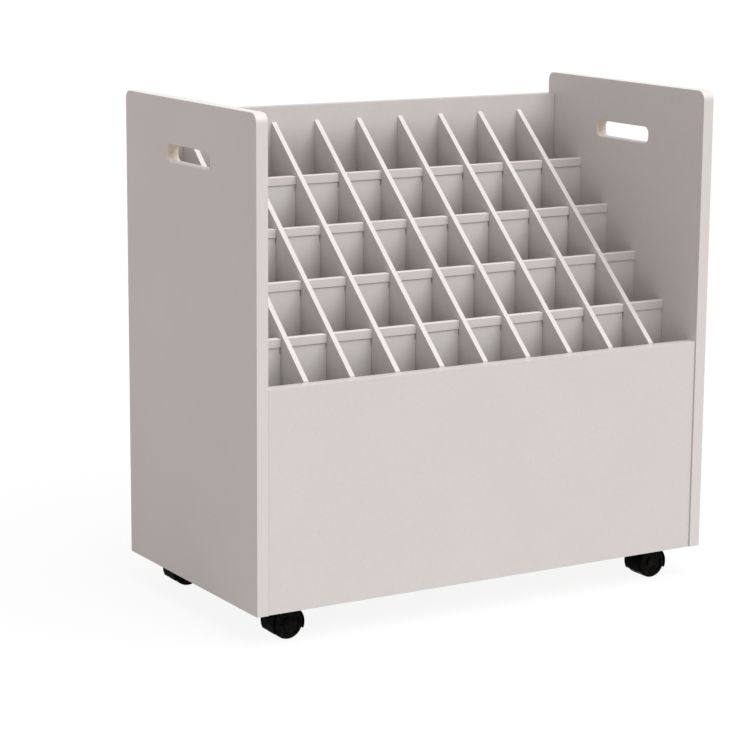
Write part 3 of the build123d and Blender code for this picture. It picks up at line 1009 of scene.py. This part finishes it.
@dataclass
class Carcass(Assembly):
    """The boards that hold the organizer together, with their edge bands.

    Attributes:
        hand_hold_middle: Height of the hand-holds' middle line.
        hand_hold_length: Length of a hand-hold.
        hand_hold_height: Height of a hand-hold.
        face_margin: Depth of the laminate at the mouth of a hand-hold.
        laminate: Finish of the side boards, the front and the bottom.
        shaded_back_laminate: Finish of the back board, the laminate darkened as painted shade,
            with more painted shade below its top on its front face.
        band: Finish of the side boards' edge bands.
        shaded_front_band: Finish of the band along the front board's top, a darker copy of the
            edge band that paints shade on it.
        shaded_back_band: Finish of the band along the back board's top, a still darker copy that
            paints shade on it.
    """

    hand_hold_middle: float = 0.665
    hand_hold_length: float = 0.132
    hand_hold_height: float = 0.025
    face_margin: float = 0.0014
    laminate: Laminate = Laminate()
    # A darker copy of the laminate: painted shade on the back board, with more painted shade below
    # its top.
    shaded_back_laminate: Laminate = Laminate(
        base=srgb(208, 205, 202), fleck=srgb(192, 188, 184), depth_shade_amount=0.6, depth_shade_end=0.08
    )
    band: SmoothBand = SmoothBand(dust=0.35, dust_colour=srgb(240, 237, 235))
    # Darker copies of the edge band plastic: painted shade on the top bands of the front and back
    # boards.
    shaded_front_band: SmoothBand = SmoothBand(base=srgb(208, 205, 201), shade=srgb(202, 198, 194))
    shaded_back_band: SmoothBand = SmoothBand(
        base=srgb(190, 185, 181), shade=srgb(184, 178, 174), dust=0.05
    )

    def dress(self) -> None:
        """Give every board and band of the carcass its finish."""
        for name in ("left_side_panel", "right_side_panel"):
            self._dress_side(name)
        for name in ("front_panel", "back_panel", "bottom_panel"):
            finish = self.shaded_back_laminate if name == "back_panel" else self.laminate
            board = Board(*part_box(name), raw_underside=True, butted=True)
            self.give(finish.build(f"{name}_laminate", self.groups, board), name)
        band = self.band.build("edge_band_plastic", self.groups)
        self.give(band, "left_edge_band", "right_edge_band")
        self.give(self.shaded_front_band.build("front_band_plastic", self.groups), "front_top_band")
        self.give(self.shaded_back_band.build("back_band_plastic", self.groups), "back_top_band")
        LOG.info("carcass: 5 boards and 4 edge bands dressed")

    def _dress_side(self, name: str) -> None:
        """Give a side board its finish, with its core showing in the hand-hold.

        Args:
            name: The side board's node.
        """
        low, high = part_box(name)
        reach = self.face_margin
        half_length = self.hand_hold_length / 2 + reach
        half_height = self.hand_hold_height / 2 + reach
        hole = (
            Vector((low.x + reach, -half_length, self.hand_hold_middle - half_height)),
            Vector((high.x - reach, half_length, self.hand_hold_middle + half_height)),
        )
        board = Board(low, high, raw_hole=hole, raw_underside=True)
        self.give(self.laminate.build(f"{name}_laminate", self.groups, board), name)


@dataclass
class DividerGrid(Assembly):
    """The halved divider boards and the label strips on the cross dividers.

    Attributes:
        columns: How many compartments stand side by side.
        rows: How many compartments stand one behind the other.
        front_reach: Depth of a divider's front edge.
        lit_top_amount: How much painted highlight of a lit top lies on the cross dividers' tops.
        laminate: Finish of the dividers, with painted shade deep in the compartments.
        strip: Finish of the label strips.
    """

    columns: int = 10
    rows: int = 5
    front_reach: float = 0.001
    lit_top_amount: float = 0.9
    laminate: Laminate = Laminate(
        base=srgb(212, 210, 207),
        fleck=srgb(197, 194, 191),
        wear_width=0.0006,
        wear_amount=0.3,
        dust=0.04,
        depth_shade_amount=0.6,
    )
    strip: SmoothBand = SmoothBand(
        base=srgb(213, 210, 207), shade=srgb(207, 204, 200), roughness=0.3
    )

    def dress(self) -> None:
        """Give every divider and label strip its finish."""
        for number in range(1, self.columns):
            self._dress_long(f"long_divider_{number}")
        with_lit_tops = replace(self.laminate, lit_top_amount=self.lit_top_amount)
        for number in range(1, self.rows):
            name = f"cross_divider_{number}"
            board = Board(*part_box(name))
            self.give(with_lit_tops.build(f"{name}_laminate", self.groups, board), name)
        for number in range(1, self.rows):
            name = f"label_strips_{number}"
            _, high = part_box(name)
            self.give(self.strip.build(f"{name}_plastic", self.groups, top=high.z), name)
        LOG.info("grid: %d dividers dressed", self.columns + self.rows - 2)

    def _dress_long(self, name: str) -> None:
        """Give a long divider its finish, with wear along its slanted top.

        Args:
            name: The divider's node.
        """
        low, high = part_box(name)
        front = low.y + self.front_reach
        front_top = max(v.co.z for v in self.nodes[name].data.vertices if v.co.y < front)
        rise = (high.z - front_top) / (high.y - low.y)
        board = Board(low, high, slant=(rise, front_top - rise * low.y))
        self.give(self.laminate.build(f"{name}_laminate", self.groups, board), name)


@dataclass
class Fittings(Assembly):
    """The cams, bolts, dowels and screws that join the boards.

    Attributes:
        cam: Finish of the cam locks.
        steel: Finish of the bolts and screws.
        wood: Finish of the dowels.
    """

    cam: PlatedSteel = PlatedSteel(base=srgb(186, 186, 186), dull=srgb(140, 139, 136))
    steel: PlatedSteel = PlatedSteel()
    wood: DowelWood = DowelWood()

    def dress(self) -> None:
        """Give every fitting its finish."""
        self.give(self.cam.build("cam_zinc", self.groups), "cam_locks")
        steel = self.steel.build("plated_steel", self.groups)
        self.give(steel, "cam_bolts", "caster_screws")
        self.give(self.wood.build("dowel_beech", self.groups), "dowels")
        LOG.info("fittings: cams, bolts, screws and dowels dressed")


@dataclass
class Casters(Assembly):
    """The four hooded twin-wheel casters.

    Attributes:
        shell: Finish of the hoods.
        tread: Finish of the wheels.
        steel: Finish of the plates, pins, axles and washers.
    """

    shell: MouldedPlastic = MouldedPlastic(base=srgb(4, 4, 5), roughness=0.62, shine=0.02)
    tread: MouldedPlastic = MouldedPlastic(
        roughness=0.3, grain_relief=(0.00002, 0.7), grime_amount=0.12
    )
    steel: PlatedSteel = PlatedSteel()

    def dress(self) -> None:
        """Give every piece of the casters its finish."""
        hood = self.shell.build("hood_plastic", self.groups)
        wheel = self.tread.build("wheel_plastic", self.groups)
        steel = self.steel.build("caster_steel", self.groups)
        for corner in Corner:
            start = corner.value
            self.give(hood, f"{start}_caster_hood")
            self.give(wheel, f"{start}_caster_front_wheel", f"{start}_caster_rear_wheel")
            self.give(
                steel, f"{start}_caster_plate", f"{start}_caster_axle", f"{start}_swivel_pin"
            )
        self.give(steel, "swivel_washers")
        LOG.info("casters: %d dressed", len(Corner))


@dataclass
class Studio:
    """The pale floor, the soft light and the camera.

    Attributes:
        eye: The camera's place.
        heading: Turn of the view from +Y towards +X, in degrees.
        tilt: Rise of the view above the horizon, in degrees.
        roll: Turn about the line of sight, in degrees.
        lens: Focal length in millimetres.
        frame_width: Width of the picture behind the lens, in millimetres.
        view_end: How far the camera sees.
        sky_level: Brightness of the sky that lights the object.
        sky_colour: Colour of the sky that lights the object.
        sun_level: Strength of the large soft key light.
        sun_from: Direction that the key light comes from.
        sun_width: How wide the key light looks, in degrees.
        floor_size: Width of the floor.
        floor_roughness: Roughness of the floor.
        floor_tone: Colour of the light that the floor throws back.
        floor_seen_tone: Lightness of the floor as it is seen.
        floor_glow: Share of plain white in the floor as it is seen.
    """

    eye: Triple = (-1.960, -3.125, 1.063)
    heading: float = 31.07
    tilt: float = -11.45
    roll: float = 0.41
    lens: float = 120.3
    frame_width: float = 36.0
    view_end: float = 100.0
    sky_level: float = 0.49
    sky_colour: Colour = (1.0, 0.885, 0.878, 1.0)
    sun_level: float = 2.65
    sun_from: Triple = (0.2, -0.5, 0.84)
    sun_width: float = 60.0
    floor_size: float = 200.0
    floor_roughness: float = 0.9
    floor_tone: Colour = (0.47, 0.44, 0.435, 1.0)
    floor_seen_tone: float = 0.95
    floor_glow: float = 0.9

    def build(self) -> None:
        """Build the floor, the lights and the camera."""
        self._floor()
        self._sky()
        self._sun()
        self._camera()
        LOG.info("studio: floor, light and camera ready")

    @staticmethod
    def _seen_directly(graph: Graph) -> Socket:
        """Return 1 for rays of the camera, of gloss and through glass."""
        path = graph.node("ShaderNodeLightPath")
        seen = graph.math("MAXIMUM", path.outputs["Is Camera Ray"], path.outputs["Is Glossy Ray"])
        return graph.math("MAXIMUM", seen, path.outputs["Is Transmission Ray"])

    def _floor(self) -> None:
        """Lay the floor, with a material that stays white but keeps the shadow."""
        bpy.ops.object.select_all(action="DESELECT")
        bpy.ops.mesh.primitive_plane_add(size=self.floor_size)
        floor = bpy.context.object
        floor.name = "studio_floor"
        material, graph, shader = start_material("studio_floor_paper")
        seen = self._seen_directly(graph)
        pale = (self.floor_seen_tone, self.floor_seen_tone, self.floor_seen_tone, 1.0)
        graph.feed(shader.inputs["Base Color"], graph.mix(seen, self.floor_tone, pale))
        shader.inputs["Roughness"].default_value = self.floor_roughness
        shader.inputs["Specular IOR Level"].default_value = 0.0
        glow = graph.node("ShaderNodeEmission")
        glow.inputs["Color"].default_value = WHITE
        blend = graph.node("ShaderNodeMixShader")
        share = graph.math("MULTIPLY", seen, self.floor_glow)
        for socket, value in zip(blend.inputs, (share, shader.outputs[0], glow.outputs[0])):
            graph.feed(socket, value)
        output = next(n for n in graph.tree.nodes if n.type == "OUTPUT_MATERIAL")
        graph.feed(output.inputs["Surface"], blend.outputs[0])
        floor.data.materials.append(material)

    def _sky(self) -> None:
        """Light the scene with an even sky that the camera sees as white."""
        world = bpy.data.worlds.new("studio_sky")
        bpy.context.scene.world = world
        world.use_nodes = True
        world.node_tree.nodes.clear()
        graph = Graph(world.node_tree)
        sky = graph.node("ShaderNodeBackground")
        output = graph.node("ShaderNodeOutputWorld")
        seen = self._seen_directly(graph)
        level = graph.math("MULTIPLY_ADD", seen, 1.0 - self.sky_level, self.sky_level)
        graph.feed(sky.inputs["Color"], graph.mix(seen, self.sky_colour, WHITE))
        graph.feed(sky.inputs["Strength"], level)
        graph.feed(output.inputs["Surface"], sky.outputs[0])

    def _sun(self) -> None:
        """Add the large soft key light."""
        data = bpy.data.lights.new("key_light", "SUN")
        data.energy = self.sun_level
        data.angle = math.radians(self.sun_width)
        lamp = bpy.data.objects.new("key_light", data)
        lamp.rotation_euler = Vector(self.sun_from).to_track_quat("Z", "Y").to_euler()
        bpy.context.scene.collection.objects.link(lamp)

    def _camera(self) -> None:
        """Place the camera as the photograph's was."""
        data = bpy.data.cameras.new("camera")
        data.sensor_width = self.frame_width
        data.lens = self.lens
        data.clip_end = self.view_end
        camera = bpy.data.objects.new("camera", data)
        heading, tilt = math.radians(self.heading), math.radians(self.tilt)
        ahead = Vector(
            (
                math.sin(heading) * math.cos(tilt),
                math.cos(heading) * math.cos(tilt),
                math.sin(tilt),
            )
        )
        camera.location = self.eye
        turn = Quaternion((0.0, 0.0, 1.0), math.radians(self.roll))
        camera.rotation_euler = (ahead.to_track_quat("-Z", "Y") @ turn).to_euler()
        bpy.context.scene.collection.objects.link(camera)
        bpy.context.scene.camera = camera


def main() -> None:
    """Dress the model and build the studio."""
    logging.basicConfig(level=logging.INFO, format="%(name)s: %(message)s")
    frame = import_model()
    nodes = frame["nodes"]
    groups = SharedGroups()
    for part in (Carcass, DividerGrid, Fittings, Casters):
        part(nodes, groups).dress()
    Studio().build()
    bpy.context.scene.view_settings.view_transform = "Standard"


if __name__ == "__main__":
    main()
